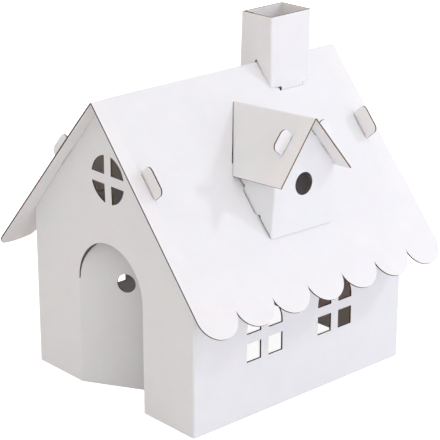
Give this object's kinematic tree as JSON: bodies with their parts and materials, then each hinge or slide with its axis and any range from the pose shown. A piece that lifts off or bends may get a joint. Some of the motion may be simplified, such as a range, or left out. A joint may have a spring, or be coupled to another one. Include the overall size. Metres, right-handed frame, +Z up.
{
  "type": "model house",
  "caption": "White corrugated card model house, cut, folded and slotted, with a scalloped roof, arched door, dormer and chimney.",
  "frame": {"origin": "on the ground, under the middle of the house", "axes": "+Z up, the door is in the wall that faces -Y, and the dormer is on the roof slope that faces +X"},
  "size_m": [0.3006, 0.2936, 0.3255],
  "materials": {
    "white_card": "matt white paper faces, with bare brown flutes along the cut edges"
  },
  "bodies": {
    "root": {"house_walls": "white_card", "roof": "white_card", "chimney": "white_card", "dormer_walls": "white_card", "dormer_roof": "white_card"}
  },
  "joints": []
}
